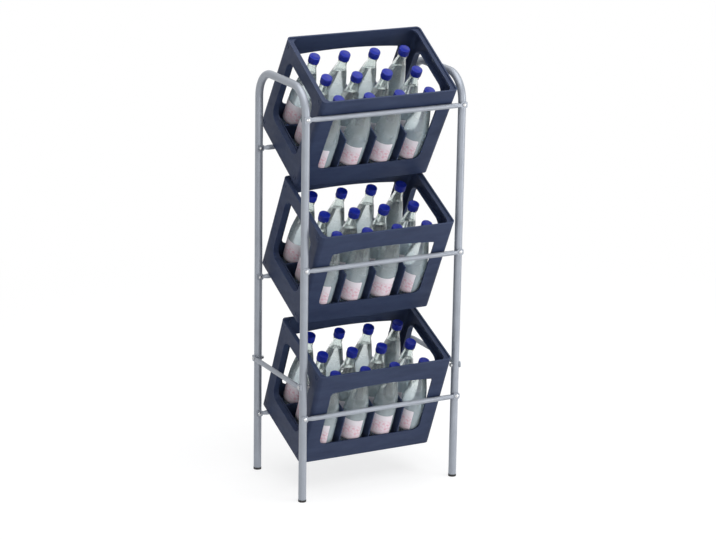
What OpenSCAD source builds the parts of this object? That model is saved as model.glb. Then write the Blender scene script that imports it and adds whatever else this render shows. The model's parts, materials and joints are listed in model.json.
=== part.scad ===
// Market crate stand: a tubular steel rack that holds three bottle crates, tilted forward, one above another.
// Millimetres. X runs across the stand, Y from front to back, Z up.
// The origin is on the floor, at the centre of the stand's overall footprint.

/* [Frame] */
// Distance between the left and right legs, centre to centre
frame_w = 464; // [456:1:520]
// Distance between the front and rear legs, centre to centre
frame_d = 280; // [260:1:320]
// Height of a hoop's top above the axis of the top front rail
hoop_rise = 89; // [84:1:140]
// Outer diameter of the leg tube
leg_od = 21.3; // [18:0.1:24]
// Wall of the leg tube
leg_wall = 1.5; // [1:0.1:2.5]
// Radius of the hoop's two bends, on the tube's centreline
hoop_bend = 72; // [50:1:72]

/* [Feet] */
// How far a foot plug stands out round its tube
foot_lip = 0.4; // [0:0.1:2]
// Height of a foot plug under its tube
foot_h = 6; // [4:0.5:12]
// Length of a foot plug's stem inside its tube
stem_l = 14; // [8:0.5:20]

/* [Rails] */
// Outer diameter of the rail tube
rail_od = 13.5; // [10:0.1:16]
// Wall of the rail tube
rail_wall = 1.2; // [0.8:0.1:2]
// Height of a rail's pressed end
flat_h = 17; // [15:0.5:24]
// Thickness of a rail's pressed end
flat_t = 4.5; // [3.5:0.1:6]
// How deep the pressed end is curved round the leg
saddle = 2; // [1:0.1:2.4]
// Length of the pressed end, each way from the leg's centre
flat_reach = 9.5; // [9:0.5:14]
// Length over which the tube goes from round to flat
taper = 14; // [8:0.5:24]
// Height of the side rails
side_rail_z = 324; // [280:1:360]

/* [Fasteners] */
// Shank diameter of a rail screw
screw_d = 4.8; // [3.5:0.1:6]
// Head diameter of a rail screw
screw_head_d = 10; // [8:0.1:12]
// Head height of a rail screw
screw_head_h = 3.4; // [2:0.1:5]
// Length of a rail screw under its head
screw_l = 16; // [12:0.5:20]
// Shank diameter of a side rail bolt
bolt_d = 6; // [5:0.1:8]
// Width across the corners of a side rail nut
nut_d = 11; // [10:0.1:14]
// Height of a side rail nut
nut_h = 5; // [4:0.1:6]
// Extra diameter of a hole round its screw or bolt
hole_play = 0.2; // [0.1:0.05:0.6]

/* [Tiers] */
// Height of the bottom tier's rear rail, on its axis
bottom_rear_z = 165; // [150:1:220]
// Room between the bottom crate's rear rim and the floor of the middle crate
middle_room = 52.2; // [20:0.1:80]
// Room between the middle crate's rear rim and the floor of the top crate
top_room = 11.2; // [5:0.1:60]
// Forward tilt of the top crate
top_tilt = 31.2; // [28:0.1:34]
// Forward tilt of the middle crate
middle_tilt = 26.6; // [24:0.1:30]
// Forward tilt of the bottom crate
bottom_tilt = 23; // [20:0.1:26]
// How far below the top crate's rim its front rail is
top_drop = 49.4; // [32:0.1:102]
// How far below the middle crate's rim its front rail is
middle_drop = 105; // [62:0.1:132]
// How far below the bottom crate's rim its front rail is
bottom_drop = 134.3; // [62:0.1:152]
// How far the top crate stands to the right of the middle
top_shift = 3; // [-10:0.5:10]
// How far the middle crate stands to the right of the middle
middle_shift = -8; // [-10:0.5:10]
// How far the bottom crate stands to the right of the middle
bottom_shift = -10; // [-10:0.5:10]
// Gap between a crate and the rails that it rests on
rest_gap = 0.3; // [0.1:0.1:1]

/* [Crate] */
// Length of a crate, across the stand
crate_l = 400; // [360:1:405]
// Depth of a crate
crate_d = 258; // [245:1:275]
// Height of a crate
crate_h = 302; // [270:1:330]
// Wall thickness of a crate
crate_wall = 4; // [3:0.5:6]
// Thickness of a crate's floor
crate_floor = 8; // [5:0.5:12]
// Radius of a crate's upright corners
corner_r = 12; // [8:1:22]
// Width of the posts beside the front and back windows
front_post = 46; // [40:1:70]
// Height of the sill under the front and back windows
front_sill = 57; // [40:1:80]
// Height of the band over the front and back windows, in the middle
front_band = 54; // [40:1:80]
// How much lower the arched top of these windows is at its ends
arch_rise = 9; // [4:1:16]
// Corner radius of the front and back windows
front_window_r = 20; // [8:1:30]
// Width of the posts beside the side windows
side_post = 44; // [38:1:60]
// Height of the sill under the side windows
side_sill = 62; // [50:1:80]
// Height of the band over the side windows
side_band = 40; // [34:1:60]
// Corner radius of the side windows
side_window_r = 28; // [10:1:40]
// Depth of the collar that lines a side window
collar_depth = 16; // [8:0.5:20]
// Thickness of that collar
collar_t = 3; // [2:0.5:5]
// Width of the ledge inside the rim, from the end of a crate inwards
ledge_w = 15; // [10:0.5:16]
// Thickness of that ledge
ledge_t = 5; // [3:0.5:5]
// How far that ledge lies below the rim
ledge_drop = 4; // [2:0.5:4]
// Corner radius of the crate's mouth, between the ledges
mouth_corner = 22; // [12:1:30]
// Bottles along a crate
columns = 4; // [4:1:4]
// Rows of bottles from front to back
rows = 3; // [3:1:3]
// Distance from the end of a crate to the divider at that end
end_room = 20; // [18:0.5:30]
// Height of the dividers between the columns, above the floor
divider_h = 145; // [100:1:160]
// Thickness of the dividers
divider_t = 3; // [2:0.5:4]
// Diameter of the drain hole under each bottle
drain_d = 40; // [20:1:50]
// Length of a vent slot
slot_l = 12; // [8:1:16]
// Width of a vent slot
slot_w = 3; // [2:0.5:5]
// Distance between the two vent slots of a pair
slot_pitch = 9; // [7:0.5:14]

/* [Bottles] */
// Free play of a bottle between the dividers round it
bottle_play = 12.3; // [11:0.1:22]
// Room between the tops of the caps and the crate's rim
cap_room = 29.9; // [20:0.1:50]
// Height of the shoulder
shoulder_h = 112; // [90:1:120]
// Length of the neck, with the mouth
neck_l = 34; // [30:1:50]
// Diameter of the neck
neck_od = 26; // [24:0.5:28]
// Glass thickness
glass_t = 3; // [2:0.5:4]
// Radius of the bottle's lower edge
heel_r = 5; // [3:0.5:8]
// Gap between a bottle and the crate's floor
bottle_gap = 0.3; // [0.1:0.1:1]
// How far a bottle stands forward in its compartment
bottle_forward = 5; // [0:0.5:5]
// How far a bottle stands to the right in its compartment
bottle_right = 6; // [0:0.5:8]
// Diameter of a cap
cap_od = 30.5; // [29:0.1:32]
// Height of a cap
cap_h = 18; // [14:0.5:22]
// Thickness of a cap's top and skirt
cap_t = 1.8; // [1.2:0.1:2]

/* [Hidden] */
$fn = 64;
TOP = 0;
MIDDLE = 1;
BOTTOM = 2;
FRONT = 0;
CENTRE = 1;
BACK = 2;
EPS = 1;
FINE = 360;

leg_r = leg_od / 2;
rail_r = rail_od / 2;
leg_x = frame_w / 2;
leg_y = frame_d / 2;
// A rail's axis lies in the middle of its pressed end, which is sunk onto the leg by the depth of its saddle
rail_off = leg_r - saddle + flat_t / 2;
front_y = -leg_y - rail_off;
rear_y = leg_y - rail_off;
side_x = leg_x + rail_off;
// Where a rail's tube ends and the taper to its pressed end starts, measured back from the leg's centre
tube_back = flat_reach + taper;
bolt_l = 2 * leg_r - saddle + flat_t + nut_h;

// A crate's own axes, in the Y and Z of the stand
tilt = [top_tilt, middle_tilt, bottom_tilt];
lean = [crate_h - top_drop, crate_h - middle_drop, crate_h - bottom_drop];
shift = [top_shift, middle_shift, bottom_shift];
room = [top_room, middle_room];
function back_dir(i) = [cos(tilt[i]), sin(tilt[i])];
function up_dir(i) = [-sin(tilt[i]), cos(tilt[i])];

// How far a crate's floor lies along its own upward axis: on the rear rail, or clear of the crate below
function floor_at(i) = i + 1 >= len(tilt)
    ? up_dir(i) * [rear_y, bottom_rear_z] + rail_r + rest_gap
    : up_dir(i) * crate_point(i + 1, crate_d, crate_h) + room[i];
// Heights of a tier's rails: the floor lies on the rear one, and the front leans on the front one
function rear_z(i) = (floor_at(i) - rail_r - rest_gap - up_dir(i)[0] * rear_y) / up_dir(i)[1];
function front_z(i) = (floor_at(i) + lean[i] - up_dir(i)[0] * front_y) / up_dir(i)[1];
// A point of a crate's depth and height, in the Y and Z of the stand
function crate_point(i, depth, height) =
    back_dir(i) * (back_dir(i) * [front_y, front_z(i)] + rail_r + rest_gap + depth)
    + up_dir(i) * (floor_at(i) + height);

// The foremost and rearmost reach of the crates, and the middle of the footprint
tiers = [TOP, MIDDLE, BOTTOM];
reach_front = min([for (i = tiers) crate_point(i, 0, crate_h)[0]]);
reach_back = max([for (i = tiers) crate_point(i, crate_d, 0)[0]]);
mid_y = (reach_front + reach_back) / 2;
hoop_z = front_z(TOP) + hoop_rise - leg_r;

cell_w = (crate_l - 2 * end_room) / columns;
cell_d = (crate_d - 2 * crate_wall) / rows;
front_window_w = crate_l - 2 * front_post;
front_window_h = crate_h - front_sill - front_band;
arch_r = (pow(front_window_w / 2, 2) + pow(arch_rise, 2)) / (2 * arch_rise);
side_window_w = crate_d - 2 * side_post;
side_window_h = crate_h - side_sill - side_band;

// A bottle fits the shorter side of its compartment, and its cap stays below the crate's rim
bottle_od = min(cell_w, cell_d) - divider_t - bottle_play;
bottle_h = crate_h - cap_room - cap_t - crate_floor - bottle_gap;
neck_z = bottle_h - neck_l;
shoulder_z = neck_z - shoulder_h;

// The screw end of a bottle: its mouth, the bead under the cap and the room for the cap's skirt
mouth_r = cap_od / 2 - cap_t - hole_play;
cap_z = bottle_h + cap_t - cap_h;
bead_h = 3;
bead_gap = 0.8;
bead_r = mouth_r + cap_t / 2;
SHOULDER_STEPS = 12;
SHOULDER_POWER = 1.5;
HEEL_STEPS = 5;

// Puts the footprint's centre at the origin
module stand() {
    translate([0, -mid_y, 0]) children();
}

// A rectangle centred on the origin, with round corners
module round_rect(w, h, r) {
    square([w, h - 2 * r], center = true);
    square([w - 2 * r, h], center = true);
    for (x = [-1, 1], y = [-1, 1]) translate([x * (w / 2 - r), y * (h / 2 - r)]) circle(r);
}

// The run of a hoop: leg, bend, top, bend, leg; the ends of the legs are longer by the given overrun
module hoop_run(d, overrun) {
    top_l = frame_d - 2 * hoop_bend;
    leg_l = hoop_z - hoop_bend - foot_h;
    for (s = [0, 1]) mirror([0, s, 0]) {
        translate([0, leg_y, foot_h - overrun]) cylinder(d = d, h = leg_l + overrun);
        translate([0, leg_y - hoop_bend, hoop_z - hoop_bend])
            rotate([90, 0, 90]) rotate_extrude(angle = 90) translate([hoop_bend, 0]) circle(d = d);
    }
    translate([0, -top_l / 2, hoop_z]) rotate([-90, 0, 0]) cylinder(d = d, h = top_l);
}

// A bent tube with holes for the rail screws in the front of each leg and for the side rail bolts across it
module hoop(side) {
    color("silver") stand() translate([side * leg_x, 0, 0]) difference() {
        hoop_run(leg_od, 0);
        hoop_run(leg_od - 2 * leg_wall, EPS);
        for (i = tiers) {
            leg_screw_hole(-leg_y, front_z(i));
            leg_screw_hole(leg_y, rear_z(i));
        }
        for (y = [-leg_y, leg_y]) translate([0, y, side_rail_z]) rotate([0, 90, 0])
            cylinder(d = bolt_d + hole_play, h = leg_od + 2 * EPS, center = true);
    }
}

module leg_screw_hole(y, z) {
    translate([0, y, z]) rotate([90, 0, 0]) cylinder(d = screw_d + hole_play, h = leg_od);
}

// A plastic plug in the end of a leg, which stands on the plug's foot
module foot(sx, sy) {
    color("#1b1c1e") stand() translate([sx * leg_x, sy * leg_y, 0]) {
        cylinder(d = leg_od + 2 * foot_lip, h = foot_h);
        cylinder(d = leg_od - 2 * leg_wall - hole_play, h = foot_h + stem_l);
    }
}

// A straight tube along X whose ends are pressed flat and hollowed to sit on the legs behind it
module rail(span) {
    tube_l = span - 2 * tube_back;
    difference() {
        union() {
            rotate([0, 90, 0]) cylinder(d = rail_od, h = tube_l, center = true);
            for (s = [0, 1]) mirror([s, 0, 0]) rail_end(span);
        }
        rotate([0, 90, 0]) cylinder(d = rail_od - 2 * rail_wall, h = tube_l, center = true);
        for (s = [-1, 1]) translate([s * span / 2, rail_off, 0])
            cylinder(d = leg_od, h = 2 * flat_h, center = true);
    }
}

module rail_end(span) {
    flat_l = 2 * flat_reach;
    end_r = flat_h / 4;
    translate([span / 2, 0, 0]) rotate([90, 0, 0])
        linear_extrude(flat_t, center = true) round_rect(flat_l, flat_h, end_r);
    hull() {
        translate([span / 2 - tube_back, 0, 0]) rotate([0, 90, 0]) cylinder(d = rail_od, h = 0.5, $fn = 32);
        translate([span / 2 - flat_reach, -flat_t / 2, -flat_h / 2 + end_r])
            cube([0.5, flat_t, flat_h - 2 * end_r]);
    }
}

// A rail across the front of two legs, with its screw holes
module cross_rail(y, z) {
    color("silver") stand() translate([0, y, z]) difference() {
        rail(frame_w);
        for (s = [-1, 1]) translate([s * leg_x, 0, 0]) rotate([90, 0, 0])
            cylinder(d = screw_d + hole_play, h = 2 * flat_t, center = true);
    }
}

// A rail along the outer side of a hoop, with its bolt holes
module side_rail(side) {
    color("silver") stand() translate([side * side_x, 0, side_rail_z]) rotate([0, 0, side * 90])
        difference() {
            rail(frame_d);
            for (s = [-1, 1]) translate([s * leg_y, 0, 0]) rotate([90, 0, 0])
                cylinder(d = bolt_d + hole_play, h = 2 * flat_t, center = true);
        }
}

// A round-headed screw that points along +Y, with the underside of its head at the origin
module screw(shank_d, shank_l) {
    rotate([-90, 0, 0]) cylinder(d = shank_d, h = shank_l);
    rotate([90, 0, 0]) intersection() {
        cylinder(d = screw_head_d, h = screw_head_h);
        translate([0, 0, screw_head_h - screw_head_d]) sphere(screw_head_d);
    }
}

module rail_screws(y, heights) {
    color("gainsboro") stand() for (x = [-leg_x, leg_x], z = heights)
        translate([x, y - flat_t / 2, z]) screw(screw_d, screw_l);
}

module side_rail_bolts() {
    color("gainsboro") stand() for (side = [-1, 1], y = [-leg_y, leg_y])
        translate([side * (side_x + flat_t / 2), y, side_rail_z]) rotate([0, 0, side * 90])
            screw(bolt_d, bolt_l);
}

module side_rail_nuts() {
    color("gainsboro") stand() for (side = [-1, 1], y = [-leg_y, leg_y])
        translate([side * (leg_x - leg_r), y, side_rail_z]) rotate([0, -side * 90, 0]) difference() {
            cylinder(d = nut_d, h = nut_h, $fn = 6);
            translate([0, 0, -EPS]) cylinder(d = bolt_d + hole_play, h = nut_h + 2 * EPS, $fn = 64);
        }
}

// Moves what is drawn in a crate's own axes to that crate's place on the stand
module on_tier(i) {
    stand() translate(concat([shift[i]], crate_point(i, 0, 0))) rotate([tilt[i], 0, 0]) children();
}

// The crate's outline seen from above, drawn in from the outside by the given amount
module crate_plan(inset) {
    translate([0, crate_d / 2])
        round_rect(crate_l - 2 * inset, crate_d - 2 * inset, corner_r - inset);
}

// The outline of the front and back windows: round corners and an arched top
module arched_window() {
    translate([0, front_sill + front_window_h / 2]) intersection() {
        round_rect(front_window_w, front_window_h, front_window_r);
        translate([0, front_window_h / 2 - arch_r]) circle(arch_r, $fn = FINE);
    }
}

module side_window(grow) {
    translate([crate_d / 2, side_sill + side_window_h / 2])
        round_rect(side_window_w + 2 * grow, side_window_h + 2 * grow, side_window_r + grow);
}

// Draws a Y and Z outline as a plate on the inner side of a side wall, from its outer face inwards
module in_side_wall(side, depth) {
    translate([side * crate_l / 2, 0, 0]) mirror([side > 0 ? 1 : 0, 0, 0])
        rotate([90, 0, 90]) linear_extrude(depth) children();
}

// A ledge inside the rim at both ends, with the crate's mouth between
module rim_ledge() {
    translate([0, 0, crate_h - ledge_drop - ledge_t]) linear_extrude(ledge_t) difference() {
        crate_plan(crate_wall / 2);
        translate([0, crate_d / 2])
            round_rect(crate_l - 2 * ledge_w, crate_d - 2 * crate_wall, mouth_corner);
    }
}

// Walls between the bottles. Only those between the columns are tall: the rest stay below the side windows.
module dividers() {
    low_h = side_sill - crate_floor;
    across_l = crate_l - crate_wall;
    along_l = crate_d - crate_wall;
    for (k = [1 : rows - 1]) translate([0, crate_wall + k * cell_d, crate_floor + (low_h - EPS) / 2])
        cube([across_l, divider_t, low_h + EPS], center = true);
    for (k = [0 : columns]) let (h = k % columns == 0 ? low_h : divider_h)
        translate([(k - columns / 2) * cell_w, crate_d / 2, crate_floor + (h - EPS) / 2])
            cube([divider_t, along_l, h + EPS], center = true);
}

// A pair of upright vent slots near each corner of a side wall
module vent_slots() {
    margin = slot_l / 2 + side_band / 4;
    for (z = [margin, crate_h - margin],
         from_end = [corner_r + slot_w, corner_r + slot_w + slot_pitch],
         far = [0, 1])
        translate([far == 1 ? crate_d - from_end : from_end, z]) square([slot_w, slot_l], center = true);
}

// A one-piece crate with a window in each wall, dividers and a drain hole under each bottle
module crate(i) {
    color("#46526e") on_tier(i) difference() {
        union() {
            difference() {
                linear_extrude(crate_h) crate_plan(0);
                translate([0, 0, crate_floor]) linear_extrude(crate_h) crate_plan(crate_wall);
            }
            for (side = [-1, 1]) in_side_wall(side, collar_depth) side_window(collar_t);
            dividers();
            rim_ledge();
        }
        for (y = [crate_wall + EPS, crate_d + EPS]) translate([0, y, 0]) rotate([90, 0, 0])
            linear_extrude(crate_wall + 2 * EPS) arched_window();
        for (side = [-1, 1]) translate([side * EPS, 0, 0]) {
            in_side_wall(side, collar_depth + 2 * EPS) side_window(0);
            in_side_wall(side, crate_wall + 2 * EPS) vent_slots();
        }
        for (c = [0 : columns - 1], r = [0 : rows - 1]) translate([cell_x(c), cell_y(r), -EPS])
            cylinder(d = drain_d, h = crate_floor + 2 * EPS);
    }
}

function cell_x(c) = (c - (columns - 1) / 2) * cell_w;
function cell_y(r) = crate_wall + (r + 0.5) * cell_d;

// Places a row of bottles, or of what is on them, in a crate
module in_row(i, r) {
    on_tier(i) for (c = [0 : columns - 1])
        translate([cell_x(c) + bottle_right, cell_y(r) - bottle_forward, crate_floor + bottle_gap])
            children();
}

// Radius of the outside of the shoulder at a share of its height
function shoulder_r(u) = neck_od / 2 + (bottle_od - neck_od) / 2 * (1 - pow(u, SHOULDER_POWER));

// The outside of a bottle from its heel to the neck, drawn in by the given amount
function bottle_side(inset) = concat(
    [for (k = [0 : HEEL_STEPS]) let (a = 90 * k / HEEL_STEPS)
        [bottle_od / 2 - heel_r + (heel_r - inset) * sin(a), heel_r - (heel_r - inset) * cos(a)]],
    [for (k = [0 : SHOULDER_STEPS]) let (u = k / SHOULDER_STEPS)
        [shoulder_r(u) - inset, shoulder_z + (neck_z - shoulder_z) * u]]
);

module bottle() {
    bead_top = cap_z - bead_gap;
    throat_r = neck_od / 2 - glass_t;
    mouth = [
        [neck_od / 2, bead_top - bead_h], [bead_r, bead_top - bead_h], [bead_r, bead_top],
        [mouth_r, bead_top], [mouth_r, bottle_h], [throat_r, bottle_h]
    ];
    inside = bottle_side(glass_t);
    inward = [for (k = [len(inside) - 1 : -1 : 0]) inside[k]];
    rotate_extrude() polygon(concat([[0, 0]], bottle_side(0), mouth, inward, [[0, glass_t]]));
}

module bottles(i, r) {
    color("#8fa09a", 0.6) in_row(i, r) bottle();
}

// A screw cap with a broken edge round its top
module cap() {
    edge = cap_t / 2;
    translate([0, 0, cap_z]) rotate_extrude() polygon([
        [mouth_r + hole_play, 0], [cap_od / 2, 0], [cap_od / 2, cap_h - edge], [cap_od / 2 - edge, cap_h],
        [0, cap_h], [0, cap_h - cap_t], [mouth_r + hole_play, cap_h - cap_t]
    ]);
}

module caps(i, r) {
    color("#1c2f9c") in_row(i, r) cap();
}

hoop(-1);  // left_hoop
hoop(1);  // right_hoop
foot(-1, -1);  // front_left_foot
foot(1, -1);  // front_right_foot
foot(-1, 1);  // rear_left_foot
foot(1, 1);  // rear_right_foot
cross_rail(front_y, front_z(TOP));  // top_front_rail
cross_rail(front_y, front_z(MIDDLE));  // middle_front_rail
cross_rail(front_y, front_z(BOTTOM));  // bottom_front_rail
cross_rail(rear_y, rear_z(TOP));  // top_rear_rail
cross_rail(rear_y, rear_z(MIDDLE));  // middle_rear_rail
cross_rail(rear_y, rear_z(BOTTOM));  // bottom_rear_rail
side_rail(-1);  // left_side_rail
side_rail(1);  // right_side_rail
rail_screws(front_y, [for (i = tiers) front_z(i)]);  // front_rail_screws
rail_screws(rear_y, [for (i = tiers) rear_z(i)]);  // rear_rail_screws
side_rail_bolts();
side_rail_nuts();
crate(TOP);  // top_crate
crate(MIDDLE);  // middle_crate
crate(BOTTOM);  // bottom_crate
bottles(TOP, FRONT);  // top_front_bottles
bottles(TOP, CENTRE);  // top_centre_bottles
bottles(TOP, BACK);  // top_back_bottles
bottles(MIDDLE, FRONT);  // middle_front_bottles
bottles(MIDDLE, CENTRE);  // middle_centre_bottles
bottles(MIDDLE, BACK);  // middle_back_bottles
bottles(BOTTOM, FRONT);  // bottom_front_bottles
bottles(BOTTOM, CENTRE);  // bottom_centre_bottles
bottles(BOTTOM, BACK);  // bottom_back_bottles
caps(TOP, FRONT);  // top_front_caps
caps(TOP, CENTRE);  // top_centre_caps
caps(TOP, BACK);  // top_back_caps
caps(MIDDLE, FRONT);  // middle_front_caps
caps(MIDDLE, CENTRE);  // middle_centre_caps
caps(MIDDLE, BACK);  // middle_back_caps
caps(BOTTOM, FRONT);  // bottom_front_caps
caps(BOTTOM, CENTRE);  // bottom_centre_caps
caps(BOTTOM, BACK);  // bottom_back_caps
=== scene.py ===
import json
import math
import random

import bmesh
import bpy
from mathutils import Matrix, Vector


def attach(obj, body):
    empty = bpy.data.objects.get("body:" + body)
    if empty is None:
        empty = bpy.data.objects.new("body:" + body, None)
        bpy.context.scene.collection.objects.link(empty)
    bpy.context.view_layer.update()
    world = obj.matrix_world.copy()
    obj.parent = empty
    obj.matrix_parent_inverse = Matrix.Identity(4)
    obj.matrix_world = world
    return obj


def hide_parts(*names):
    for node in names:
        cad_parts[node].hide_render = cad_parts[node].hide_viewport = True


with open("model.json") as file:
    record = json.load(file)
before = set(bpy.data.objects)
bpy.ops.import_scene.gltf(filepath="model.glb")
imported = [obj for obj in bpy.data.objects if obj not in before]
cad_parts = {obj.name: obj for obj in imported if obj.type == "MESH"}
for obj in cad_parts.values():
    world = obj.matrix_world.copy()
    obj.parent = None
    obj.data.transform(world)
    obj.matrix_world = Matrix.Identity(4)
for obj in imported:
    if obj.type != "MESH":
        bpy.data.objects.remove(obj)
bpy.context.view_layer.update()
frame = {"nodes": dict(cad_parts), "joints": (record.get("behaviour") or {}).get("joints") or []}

NODES = frame["nodes"]
JOINTS = {joint["name"]: joint for joint in frame["joints"]}
SCENE = bpy.context.scene
TIERS = ("top", "middle", "bottom")
ROWS = ("front", "centre", "back")
CHANCE = random.Random(12)

# Sizes are in metres and angles in degrees.
# Places, and the radii and heights of bottles and caps, are measured on the frame.

# Foot
DUST_H = 0.008

# Crate
# Width of the crates' paler edges: partly rubbed wear, partly a painted highlight.
WORN_AND_HIGHLIT_EDGE = 0.0025
CRATE_WELD = 0.00001
CRATE_FLAT = 0.5
CRATE_SHARP = 35
CRATE_EDGE = 0.0014
CRATE_EDGE_STEPS = 2
CRATE_EDGE_ANGLE = 40

# Bottle. The bead's edge is a list of points: how far each lies inside the bead's radius, and below its top.
BOTTLES_PER_ROW = 4
BOTTLE_SIDES = 56
BOTTLE_SHARP = 50
ARC_STEPS = 4
BODY_STEPS = 3
SHOULDER_STEPS = 18
SHOULDER_POWER = 1.5
SHOULDER_Z = 0.116
NECK_Z = 0.228
NECK_R = 0.013
MOUTH_R = 0.01325
LIP_EDGE = 0.0008
BEAD_R = 0.01415
BEAD_H = 0.0032
BEAD_EDGE = ((0.0003, 0.003), (0.0, 0.0024), (0.0, 0.0006), (0.0004, 0.0))
BEAD_SLOPE = 0.0001
BEAD_GAP = 0.0008
GLASS = 0.003
HEEL_R = 0.005
PUNT_R = 0.026
PUNT_H = 0.007
WATER_Z = 0.206
LEVEL_ROUNDS = 12
AIR_STEP = 0.004

# Glass. It is dull round the body, and turns clear over these heights below and above.
CLEAR_BELOW = (0.0168, 0.0546)
CLEAR_ABOVE = (0.087, 0.2146)

# Cap. The rim and the disc of its sunk top are shares of the cap's radius.
CAP_RIBS = 60
CAP_SHARP = 40
RIB_SIDES = 4
RIB_DEPTH = 0.00035
RIB_END = 0.0008
CAP_EDGE = 0.0012
CAP_WALL = 0.0018
CAP_SEAT = 0.0001
TOP_RIM = 0.80
TOP_DISC = 0.77
TOP_SUNK = 0.0003
BAND_H = 0.0036
BAND_INSET = 0.0001
BAND_EDGE = 0.0004
BAND_GAP = 0.0005
BAND_GAP_DEPTH = 0.0007

# Label
LABEL_GRID = (40, 20)
LABEL_SHARP = 60
LABEL_Z = 0.042
LABEL_H = 0.067
LABEL_WRAP = 124
LABEL_TURNS = (-66, -38, -42, -74)
LABEL_SWING = 14
LABEL_PROUD = 0.00025
LABEL_PAPER = 0.00012
LABEL_CORNER = 0.004

# Studio. Each lamp has a name, a place, a target, a size and watts. The lens and sensor are in millimetres.
FLOOR_R = 14.0
FLOOR_SIDES = 96
FLOOR_WHITE = 0.6
FLOOR_LIFT = 0.36
FLOOR_NEAR = 0.7
FLOOR_FAR = 2.4
ROOM_TINT = (0.95, 0.97, 1.0, 1)
ROOM_LIGHT = 0.30
WHITE = (1, 1, 1, 1)
LAMPS = (
    ("key", (-1.7, -4.4, 1.0), (0, 0, 0.6), (2.2, 1.6), 40),
    ("fill", (3.4, -3.2, 0.9), (0, 0, 0.6), (2.6, 1.6), 78),
    ("top", (0.3, -0.8, 4.6), (0, -0.3, 0.0), (4.5, 4.5), 160),
)
VIEW_TURN = 27.8575
VIEW_PITCH = 15.972
VIEW_ROLL = -0.9147
VIEW_PLACE = (-3.1443, -5.9557, 2.5100)
VIEW_LENS = 129.56
VIEW_SENSOR = 36.0
VIEW_END = 100.0


# Shader helpers

def srgb(red, green, blue):
    """A colour that is read off the photograph, 0 to 255, as the linear colour that a socket takes."""
    def linear(value):
        value = value / 255
        return value / 12.92 if value <= 0.04045 else ((value + 0.055) / 1.055) ** 2.4
    return (linear(red), linear(green), linear(blue), 1.0)


class Shader:
    """A material with a Principled shader, and short ways to add nodes to it."""

    def __init__(self, name, **settings):
        self.material = bpy.data.materials.new(name)
        self.material.use_nodes = True
        self.tree = self.material.node_tree
        self.surface = self.tree.nodes["Principled BSDF"]
        self.output = self.tree.nodes["Material Output"]
        for socket, value in settings.items():
            self.surface.inputs[socket.replace("_", " ")].default_value = value

    def add(self, kind, inputs=None, **settings):
        node = self.tree.nodes.new(kind)
        for key, value in settings.items():
            setattr(node, key, value)
        for key, value in (inputs or {}).items():
            self.feed(node.inputs[key], value)
        return node

    def feed(self, socket, value):
        """Links another node's output to a socket, or sets the socket to a plain value."""
        if isinstance(value, bpy.types.NodeSocket):
            self.tree.links.new(value, socket)
        else:
            socket.default_value = value

    def set(self, socket, value):
        self.feed(self.surface.inputs[socket], value)

    def place(self, kind="Object"):
        return self.add("ShaderNodeTexCoord").outputs[kind]

    def noise(self, where, scale, detail=3.0, roughness=0.55):
        inputs = {"Vector": where, "Scale": scale, "Detail": detail, "Roughness": roughness}
        return self.add("ShaderNodeTexNoise", inputs).outputs["Fac"]

    def span(self, value, low, high, start=0.3, end=0.7):
        """What runs from start to end, made to run from low to high."""
        inputs = {"Value": value, "From Min": start, "From Max": end, "To Min": low, "To Max": high}
        return self.add("ShaderNodeMapRange", inputs).outputs["Result"]

    def ramp(self, value, *stops):
        node = self.add("ShaderNodeValToRGB", {"Fac": value})
        ends = node.color_ramp.elements
        while len(ends) < len(stops):
            ends.new(0.5)
        for end, (position, colour) in zip(ends, stops):
            end.position = position
            end.color = colour
        return node.outputs["Color"]

    def blend(self, share, first, second):
        """A mix of two colours. The node's sockets for colours come after those for numbers and vectors."""
        node = self.add("ShaderNodeMix", data_type="RGBA")
        self.feed(node.inputs[0], share)
        self.feed(node.inputs[6], first)
        self.feed(node.inputs[7], second)
        return node.outputs[2]

    def math(self, operation, first, second=0.0):
        node = self.add("ShaderNodeMath", operation=operation)
        self.feed(node.inputs[0], first)
        self.feed(node.inputs[1], second)
        return node.outputs[0]

    def bump(self, height, strength, distance):
        inputs = {"Height": height, "Strength": strength, "Distance": distance}
        return self.add("ShaderNodeBump", inputs).outputs["Normal"]

    def edges(self, size):
        """1 on flat faces and less on edges, where the bevel node turns the normal."""
        bevel = self.add("ShaderNodeBevel", {"Radius": size}, samples=4).outputs["Normal"]
        normal = self.add("ShaderNodeNewGeometry").outputs["Normal"]
        node = self.add("ShaderNodeVectorMath", operation="DOT_PRODUCT")
        self.feed(node.inputs[0], bevel)
        self.feed(node.inputs[1], normal)
        return node.outputs["Value"]


# Materials

def lacquer():
    """Silver-grey lacquer on steel tube: fine metal flake, a faint orange peel and soft handling marks."""
    s = Shader("silver_lacquer", Metallic=0.38, Coat_Weight=0.15, Coat_Roughness=0.2)
    where = s.place()
    flake = s.noise(where, 2600, 1.0)
    marks = s.noise(where, 16, 5.0, 0.62)
    peel = s.noise(where, 420, 2.0)
    tone = s.ramp(marks, (0.3, srgb(139, 145, 155)), (0.7, srgb(156, 162, 172)))
    s.set("Base Color", s.blend(s.span(flake, 0.0, 0.3), tone, srgb(186, 190, 197)))
    s.set("Roughness", s.span(marks, 0.38, 0.52))
    s.set("Normal", s.bump(peel, 0.12, 0.0002))
    return s.material


def zinc():
    """Bright zinc on screws, bolts and nuts, with turned grain and small dull spots."""
    s = Shader("bright_zinc", Metallic=1.0)
    where = s.place()
    spots = s.noise(where, 330, 4.0)
    grain = s.noise(where, 1500, 2.0)
    s.set("Base Color", s.ramp(spots, (0.35, srgb(168, 169, 170)), (0.65, srgb(208, 209, 212))))
    s.set("Roughness", s.span(spots, 0.42, 0.28))
    s.set("Normal", s.bump(grain, 0.2, 0.00015))
    return s.material


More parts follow.
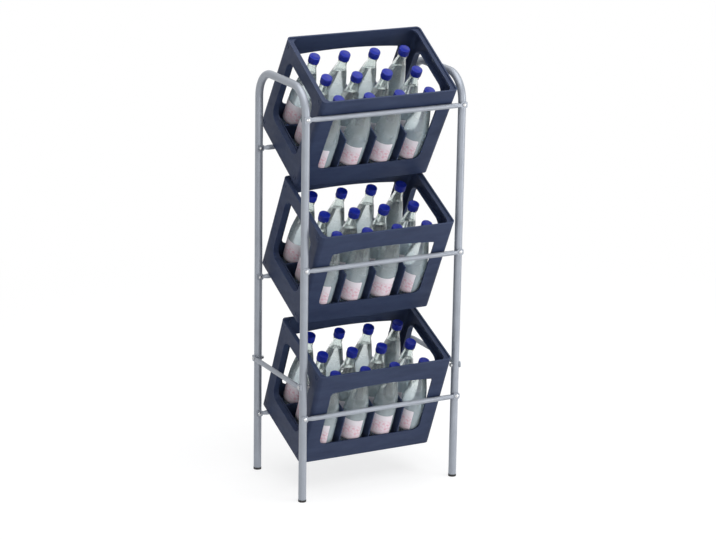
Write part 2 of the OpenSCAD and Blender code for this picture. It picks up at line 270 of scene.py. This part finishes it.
def foot_plastic():
    """Black soft plastic of the foot plugs: fine grain, with pale dust low down."""
    s = Shader("foot_plastic", Specular_IOR_Level=0.4)
    where = s.place()
    height = s.add("ShaderNodeSeparateXYZ", {"Vector": where}).outputs["Z"]
    dust = s.math("MULTIPLY", s.span(height, 0.5, 0.0, 0.0, DUST_H), s.noise(where, 300, 4.0))
    s.set("Base Color", s.blend(dust, srgb(24, 24, 26), srgb(92, 90, 88)))
    s.set("Roughness", s.span(s.noise(where, 220, 3.0), 0.48, 0.66))
    s.set("Normal", s.bump(s.noise(where, 2200, 2.0), 0.25, 0.0002))
    return s.material


def crate_plastic():
    """Dark slate-blue moulded plastic: fine grain, flow streaks, scuffs, and edges made paler, partly rubbed
    wear and partly a painted highlight.
    """
    s = Shader("crate_plastic", Specular_IOR_Level=0.16)
    where = s.place()
    streaks = s.add("ShaderNodeMapping", {"Vector": where, "Scale": (2.0, 2.0, 9.0)}).outputs["Vector"]
    flow = s.noise(streaks, 5, 4.0)
    scuffs = s.noise(where, 70, 6.0, 0.7)
    grain = s.noise(where, 1500, 2.0)
    body = s.ramp(flow, (0.3, srgb(42, 52, 78)), (0.7, srgb(52, 63, 90)))
    # Edges are painted paler: partly rubbed wear, partly a painted highlight along the moulded edges.
    worn_and_highlit = s.span(s.edges(WORN_AND_HIGHLIT_EDGE), 1.0, 0.0, 0.86, 0.995)
    patchy_wear_and_highlight = s.math("MULTIPLY", worn_and_highlit, s.span(scuffs, 0.15, 0.75, 0.35, 0.65))
    s.set("Base Color", s.blend(patchy_wear_and_highlight, body, srgb(84, 96, 126)))
    s.set("Roughness", s.span(scuffs, 0.40, 0.56))
    s.set("Normal", s.bump(grain, 0.16, 0.00025))
    return s.material


def water_glass():
    """Bottle glass full of water: a faint blue-grey tint, waves from the mould and a body scuffed dull."""
    s = Shader("water_glass", IOR=1.40, Coat_Weight=0.5, Coat_Roughness=0.03)
    where = s.place()
    height = s.add("ShaderNodeSeparateXYZ", {"Vector": where}).outputs["Z"]
    neck = s.span(height, 0.0, 1.0, *CLEAR_ABOVE)
    clear = s.math("MAXIMUM", neck, s.span(height, 1.0, 0.0, *CLEAR_BELOW))
    scuffs = s.noise(where, 60, 5.0, 0.65)
    tint = s.ramp(s.noise(where, 9, 2.0), (0.3, srgb(210, 228, 236)), (0.7, srgb(224, 238, 244)))
    s.set("Base Color", s.blend(clear, tint, srgb(240, 246, 244)))
    through = s.math("ADD", s.span(clear, 0.56, 0.97, 0.0, 1.0), s.span(scuffs, -0.05, 0.03))
    s.set("Transmission Weight", through)
    dull = s.math("MULTIPLY", s.span(scuffs, 0.10, 0.22), s.span(clear, 1.0, 0.12, 0.0, 1.0))
    s.set("Roughness", dull)
    s.set("Normal", s.bump(s.noise(where, 38, 2.0), 0.10, 0.002))
    return s.material


def cap_plastic():
    """Royal blue screw caps: slight mottling of the colour and a fine grain."""
    s = Shader("cap_plastic", Specular_IOR_Level=0.3)
    where = s.place()
    mottle = s.noise(where, 110, 4.0)
    s.set("Base Color", s.ramp(mottle, (0.3, srgb(8, 26, 132)), (0.7, srgb(14, 38, 158))))
    s.set("Roughness", s.span(mottle, 0.30, 0.44))
    s.set("Normal", s.bump(s.noise(where, 1900, 2.0), 0.12, 0.0002))
    return s.material


def label_paper():
    """Pale label paper with a plain soft print: a rose wash that thins out upwards and a blotted middle."""
    s = Shader("label_paper", Specular_IOR_Level=0.35)
    uv = s.place("UV")
    split = s.add("ShaderNodeSeparateXYZ", {"Vector": uv}).outputs
    fibre = s.noise(uv, 90, 5.0, 0.65)
    cloud = s.noise(uv, 4.2, 3.0)
    blots = s.noise(uv, 11, 4.0, 0.6)
    wave = s.math("MULTIPLY", s.math("SINE", s.math("MULTIPLY", split["X"], 9.0)), 0.05)
    rise = s.math("ADD", split["Y"], wave)
    paper = s.ramp(fibre, (0.3, srgb(226, 221, 227)), (0.7, srgb(239, 235, 240)))
    wash = s.math("MULTIPLY", s.span(rise, 0.5, 0.1, 0.0, 0.9), s.span(cloud, 0.15, 1.0))
    printed = s.blend(wash, paper, srgb(226, 170, 188))
    middle = s.math("ABSOLUTE", s.math("SUBTRACT", rise, 0.46))
    motif = s.math("MULTIPLY", s.span(middle, 0.5, 0.0, 0.16, 0.34), s.span(blots, 0.0, 1.0, 0.44, 0.62))
    s.set("Base Color", s.blend(motif, printed, srgb(212, 112, 140)))
    s.set("Roughness", s.span(fibre, 0.52, 0.7))
    s.set("Normal", s.bump(fibre, 0.15, 0.0002))
    return s.material


def floor_paint():
    """Pale studio floor. The camera sees it lifted to white, with the shadow near the object."""
    s = Shader("studio_floor", Roughness=0.9, Specular_IOR_Level=0.1)
    where = s.place()
    mottle = s.noise(where, 2.5, 3.0)
    s.set("Base Color", s.ramp(mottle, (0.3, (0.88, 0.88, 0.88, 1)), (0.7, (0.90, 0.90, 0.90, 1))))
    far = s.add("ShaderNodeVectorMath", {0: where}, operation="LENGTH").outputs["Value"]
    path = s.add("ShaderNodeLightPath").outputs
    seen = s.math("MAXIMUM", path["Is Camera Ray"], path["Is Glossy Ray"])
    seen = s.math("MAXIMUM", seen, path["Is Transmission Ray"])
    white = s.math("MULTIPLY", seen, s.span(far, FLOOR_WHITE, 1.0, FLOOR_NEAR, FLOOR_FAR))
    lift = s.add("ShaderNodeEmission", {"Strength": s.math("MULTIPLY", seen, FLOOR_LIFT)})
    lifted = s.add("ShaderNodeAddShader", {0: s.surface.outputs[0], 1: lift.outputs[0]})
    glow = s.add("ShaderNodeEmission", {"Strength": 1.0})
    mix = s.add("ShaderNodeMixShader", {0: white, 1: lifted.outputs[0], 2: glow.outputs[0]})
    s.tree.links.new(mix.outputs[0], s.output.inputs["Surface"])
    return s.material


# Mesh helpers

def put(name, mesh, material, body, place=None):
    """A new piece with that mesh, in its place and riding its body."""
    piece = bpy.data.objects.new(name, mesh)
    SCENE.collection.objects.link(piece)
    if place is not None:
        piece.matrix_world = place
    piece.data.materials.clear()
    piece.data.materials.append(material)
    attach(piece, body)
    return piece


def skin(name, rings, sharp):
    """A mesh through rings of points. A ring of one point closes an end."""
    mesh = bmesh.new()
    made = [[mesh.verts.new(point) for point in ring] for ring in rings]
    for lower, upper in zip(made, made[1:]):
        count = max(len(lower), len(upper))
        for k in range(count):
            turn = (k + 1) % count
            corners = [lower[k % len(lower)], lower[turn % len(lower)]]
            corners += [upper[turn % len(upper)], upper[k % len(upper)]]
            mesh.faces.new(list(dict.fromkeys(corners)))
    bmesh.ops.recalc_face_normals(mesh, faces=mesh.faces)
    return finished(name, mesh, sharp)


def finished(name, mesh, sharp):
    """The mesh as data with smooth faces and edges sharp above that angle."""
    data = bpy.data.meshes.new(name)
    mesh.to_mesh(data)
    mesh.free()
    data.polygons.foreach_set("use_smooth", [True] * len(data.polygons))
    data.set_sharp_from_angle(angle=math.radians(sharp))
    return data


def circle(radius, height, sides, swell=None):
    """A ring of points about the Z axis. swell(k) adds to the radius of point k."""
    points = []
    for k in range(sides):
        turn = 2 * math.pi * k / sides
        reach = radius + (swell(k) if swell else 0.0)
        points.append(Vector((reach * math.cos(turn), reach * math.sin(turn), height)))
    return points


# Frame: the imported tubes, rails, fasteners and feet keep their shape and get their finish.

def finish_frame():
    silver, bright, black = lacquer(), zinc(), foot_plastic()
    for name, node in NODES.items():
        if name.endswith(("_hoop", "_rail")):
            material = silver
        elif name.endswith(("_screws", "_bolts", "_nuts")):
            material = bright
        elif name.endswith("_foot"):
            material = black
        else:
            continue
        node.data.materials.clear()
        node.data.materials.append(material)


# Crates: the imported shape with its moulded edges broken.

def make_crates():
    plastic, flat = crate_plastic(), math.radians(CRATE_FLAT)
    for tier in TIERS:
        source = NODES[f"{tier}_crate"].data
        mesh = bmesh.new()
        corners = [mesh.verts.new(vertex.co) for vertex in source.vertices]
        for face in source.polygons:
            mesh.faces.new([corners[k] for k in face.vertices])
        bmesh.ops.remove_doubles(mesh, verts=mesh.verts, dist=CRATE_WELD)
        bmesh.ops.dissolve_limit(mesh, angle_limit=flat, verts=mesh.verts, edges=mesh.edges)
        data = finished(f"{tier}_crate_moulding", mesh, CRATE_SHARP)
        piece = put(f"{tier}_crate_moulding", data, plastic, f"{tier}_crate")
        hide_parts(f"{tier}_crate")
        edge = piece.modifiers.new("broken_edges", "BEVEL")
        edge.width = CRATE_EDGE
        edge.segments = CRATE_EDGE_STEPS
        edge.limit_method = "ANGLE"
        edge.angle_limit = math.radians(CRATE_EDGE_ANGLE)
        edge.harden_normals = True


# Bottles, caps and labels

def crate_axes(tier):
    """Columns: across, back and up, as the tier's crate is tilted."""
    up = Vector(JOINTS[f"{tier}_front_row_lift"]["axis"]).normalized()
    across = Vector((1, 0, 0))
    return Matrix((across, up.cross(across), up)).transposed()


def spans(node, axes):
    """Lowest and highest corner of a node along the crate's axes."""
    turned = axes.transposed()
    points = [turned @ vertex.co for vertex in NODES[node].data.vertices]
    low = Vector(min(point[k] for point in points) for k in range(3))
    high = Vector(max(point[k] for point in points) for k in range(3))
    return low, high


def bottle_radius(height, body_r):
    """The bottle's outer radius at a height between its heel and its mouth."""
    if height <= SHOULDER_Z:
        return body_r
    share = min(1.0, (height - SHOULDER_Z) / (NECK_Z - SHOULDER_Z))
    return NECK_R + (body_r - NECK_R) * (1 - share ** SHOULDER_POWER)


def bottle_mesh(tier, body_r, total, cap_z, lean):
    """A bottle full of water up to a level surface, with the air above it and the mouth left hollow."""
    def ring(radius, height):
        return circle(radius, height, BOTTLE_SIDES)

    rings = [[Vector((0, 0, PUNT_H))]]
    for step in range(1, ARC_STEPS + 1):
        turn = step / ARC_STEPS * math.pi / 2
        rings.append(ring(PUNT_R * math.sin(turn), PUNT_H * math.cos(turn)))
    for step in range(ARC_STEPS + 1):
        turn = step / ARC_STEPS * math.pi / 2
        rings.append(ring(body_r - HEEL_R + HEEL_R * math.sin(turn), HEEL_R - HEEL_R * math.cos(turn)))
    for step in range(1, BODY_STEPS + 1):
        rings.append(ring(body_r, HEEL_R + (SHOULDER_Z - HEEL_R) * step / BODY_STEPS))
    for step in range(1, SHOULDER_STEPS + 1):
        height = SHOULDER_Z + (NECK_Z - SHOULDER_Z) * step / SHOULDER_STEPS
        rings.append(ring(bottle_radius(height, body_r), height))
    bead_top = cap_z - BEAD_GAP
    rings.append(ring(NECK_R, bead_top - BEAD_H))
    for inset, below in BEAD_EDGE:
        rings.append(ring(BEAD_R - inset, bead_top - below))
    bore, air_z = NECK_R - GLASS, NECK_Z - AIR_STEP
    for radius, height in (
        (MOUTH_R, bead_top + BEAD_SLOPE),
        (MOUTH_R, total - LIP_EDGE),
        (MOUTH_R - LIP_EDGE, total),
        (bore + LIP_EDGE, total),
        (bore, total - LIP_EDGE),
        (bore, NECK_Z),
        (bottle_radius(air_z, body_r) - GLASS, air_z),
    ):
        rings.append(ring(radius, height))
    level = []
    for k in range(BOTTLE_SIDES):
        turn = 2 * math.pi * k / BOTTLE_SIDES
        height = WATER_Z
        for _ in range(LEVEL_ROUNDS):
            radius = bottle_radius(height, body_r) - GLASS
            height = WATER_Z - radius * math.sin(turn) * math.tan(lean)
        level.append(Vector((radius * math.cos(turn), radius * math.sin(turn), height)))
    rings.append(level)
    rings.append([Vector((0, 0, WATER_Z))])
    return skin(f"{tier}_bottle", rings, BOTTLE_SHARP)


def cap_mesh(radius, height):
    """A hollow, ribbed screw cap: a plain band below a thin gap, a round top edge and a slightly sunk top."""
    sides = CAP_RIBS * RIB_SIDES

    def rib(k):
        return -RIB_DEPTH if k % RIB_SIDES >= RIB_SIDES / 2 else 0.0

    inner, roof = radius - CAP_WALL, height - CAP_WALL + CAP_SEAT
    rings = [[Vector((0, 0, roof))], circle(inner, roof, sides), circle(inner, 0, sides)]
    for inset, level in (
        (BAND_INSET + BAND_EDGE, 0),
        (BAND_INSET, BAND_EDGE),
        (BAND_INSET, BAND_H - BAND_GAP),
        (BAND_GAP_DEPTH, BAND_H - BAND_GAP),
        (BAND_GAP_DEPTH, BAND_H),
    ):
        rings.append(circle(radius - inset, level, sides))
    rings.append(circle(radius, BAND_H, sides, rib))
    rings.append(circle(radius, height - CAP_EDGE - RIB_END, sides, rib))
    for step in range(ARC_STEPS + 1):
        turn = step / ARC_STEPS * math.pi / 2
        edge = radius - RIB_DEPTH - CAP_EDGE + CAP_EDGE * math.cos(turn)
        rings.append(circle(edge, height - CAP_EDGE + CAP_EDGE * math.sin(turn), sides))
    rings.append(circle(radius * TOP_RIM, height, sides))
    rings.append(circle(radius * TOP_DISC, height - TOP_SUNK, sides))
    rings.append([Vector((0, 0, height - TOP_SUNK))])
    return skin("cap", rings, CAP_SHARP)


def label_mesh(body_r):
    """A sheet of label paper round the front of a bottle, with its corners rounded and UVs across and up."""
    across, tall = LABEL_GRID
    radius = body_r + LABEL_PROUD
    width = radius * math.radians(LABEL_WRAP)
    mesh = bmesh.new()
    uv = mesh.loops.layers.uv.new("label")
    grid, flat = [], {}
    for j in range(tall + 1):
        row = []
        for i in range(across + 1):
            x, z = (i / across - 0.5) * width, (j / tall - 0.5) * LABEL_H
            over_x = max(0.0, abs(x) - (width / 2 - LABEL_CORNER))
            over_z = max(0.0, abs(z) - (LABEL_H / 2 - LABEL_CORNER))
            over = math.hypot(over_x, over_z)
            if over > LABEL_CORNER:
                x -= math.copysign(over_x * (1 - LABEL_CORNER / over), x)
                z -= math.copysign(over_z * (1 - LABEL_CORNER / over), z)
            turn = x / radius - math.pi / 2
            point = Vector((radius * math.cos(turn), radius * math.sin(turn), LABEL_Z + LABEL_H / 2 + z))
            vertex = mesh.verts.new(point)
            flat[vertex] = (x / width + 0.5, z / LABEL_H + 0.5)
            row.append(vertex)
        grid.append(row)
    for lower, upper in zip(grid, grid[1:]):
        for i in range(across):
            face = mesh.faces.new((lower[i], lower[i + 1], upper[i + 1], upper[i]))
            for loop in face.loops:
                loop[uv].uv = flat[loop.vert]
    return finished("label", mesh, LABEL_SHARP)


def make_bottles():
    glass, plastic, paper = water_glass(), cap_plastic(), label_paper()
    caps = labels = None
    for tier in TIERS:
        axes = crate_axes(tier)
        lean = math.atan2(-axes[1][2], axes[2][2])
        bottles = None
        for row in ROWS:
            name, body = f"{tier}_{row}", f"{tier}_{row}_row"
            low, high = spans(f"{name}_bottles", axes)
            cap_low, cap_high = spans(f"{name}_caps", axes)
            radius = (high.y - low.y) / 2
            cap_r = (cap_high.y - cap_low.y) / 2
            pitch = (high.x - low.x - 2 * radius) / (BOTTLES_PER_ROW - 1)
            if bottles is None:
                bottles = bottle_mesh(tier, radius, high.z - low.z, cap_low.z - low.z, lean)
            if caps is None:
                caps = cap_mesh(cap_r, cap_high.z - cap_low.z)
                labels = label_mesh(radius)
            for k in range(BOTTLES_PER_ROW):
                across, back = low.x + radius + pitch * k, (low.y + high.y) / 2
                stand = axes.to_4x4()
                stand.translation = axes @ Vector((across, back, low.z))
                bottle = put(f"{name}_bottle_{k + 1}", bottles, glass, body, stand)
                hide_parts(f"{name}_bottles")
                twist = Matrix.Rotation(CHANCE.uniform(0, math.tau), 4, "Z")
                top = axes.to_4x4()
                top.translation = axes @ Vector((across, back, cap_low.z))
                cap = put(f"{name}_cap_{k + 1}", caps, plastic, body, top @ twist)
                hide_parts(f"{name}_caps")
                turn = LABEL_TURNS[k] + CHANCE.uniform(-LABEL_SWING, LABEL_SWING)
                twist = Matrix.Rotation(math.radians(turn), 4, "Z")
                label = put(f"{name}_label_{k + 1}", labels, paper, body, stand @ twist)
                sheet = label.modifiers.new("paper", "SOLIDIFY")
                sheet.thickness = LABEL_PAPER
                sheet.offset = 1.0


# Studio

def make_floor():
    mesh = bmesh.new()
    bmesh.ops.create_circle(mesh, cap_ends=True, segments=FLOOR_SIDES, radius=FLOOR_R)
    data = bpy.data.meshes.new("floor")
    mesh.to_mesh(data)
    mesh.free()
    floor = bpy.data.objects.new("floor", data)
    floor.data.materials.append(floor_paint())
    SCENE.collection.objects.link(floor)


def make_world():
    """A soft white room. What the camera sees, also through glass and in reflections, is plain white."""
    world = bpy.data.worlds.new("studio")
    world.use_nodes = True
    SCENE.world = world
    tree = world.node_tree
    light = tree.nodes["Background"]
    light.inputs["Color"].default_value = ROOM_TINT
    light.inputs["Strength"].default_value = ROOM_LIGHT
    seen = tree.nodes.new("ShaderNodeBackground")
    seen.inputs["Color"].default_value = WHITE
    seen.inputs["Strength"].default_value = 1.0
    path = tree.nodes.new("ShaderNodeLightPath")
    share = path.outputs["Is Camera Ray"]
    for kind in ("Is Glossy Ray", "Is Transmission Ray"):
        either = tree.nodes.new("ShaderNodeMath")
        either.operation = "MAXIMUM"
        tree.links.new(share, either.inputs[0])
        tree.links.new(path.outputs[kind], either.inputs[1])
        share = either.outputs[0]
    mix = tree.nodes.new("ShaderNodeMixShader")
    tree.links.new(share, mix.inputs[0])
    tree.links.new(light.outputs[0], mix.inputs[1])
    tree.links.new(seen.outputs[0], mix.inputs[2])
    tree.links.new(mix.outputs[0], tree.nodes["World Output"].inputs["Surface"])


def make_lamp(name, place, target, size, power):
    """A white rectangular lamp that faces its target."""
    data = bpy.data.lights.new(name, "AREA")
    data.shape = "RECTANGLE"
    data.size, data.size_y = size
    data.energy = power
    lamp = bpy.data.objects.new(name, data)
    lamp.location = place
    lamp.rotation_euler = (Vector(target) - Vector(place)).to_track_quat("-Z", "Y").to_euler()
    SCENE.collection.objects.link(lamp)


def make_camera():
    """The photograph's own view, solved from the feet, rails, screws and crate corners."""
    turn, pitch, roll = (math.radians(angle) for angle in (VIEW_TURN, VIEW_PITCH, VIEW_ROLL))
    ahead = Vector((math.sin(turn) * math.cos(pitch), math.cos(turn) * math.cos(pitch), -math.sin(pitch)))
    right = Vector((math.cos(turn), -math.sin(turn), 0))
    down = ahead.cross(right)
    across = math.cos(roll) * right + math.sin(roll) * down
    below = -math.sin(roll) * right + math.cos(roll) * down
    place = Matrix((across, -below, -ahead)).transposed().to_4x4()
    place.translation = VIEW_PLACE
    data = bpy.data.cameras.new("photo_view")
    data.sensor_width = VIEW_SENSOR
    data.lens = VIEW_LENS
    data.clip_end = VIEW_END
    camera = bpy.data.objects.new("photo_view", data)
    camera.matrix_world = place
    SCENE.collection.objects.link(camera)
    SCENE.camera = camera


make_camera()
finish_frame()
make_crates()
make_bottles()
make_floor()
make_world()
for lamp_settings in LAMPS:
    make_lamp(*lamp_settings)
SCENE.view_settings.view_transform = "Standard"
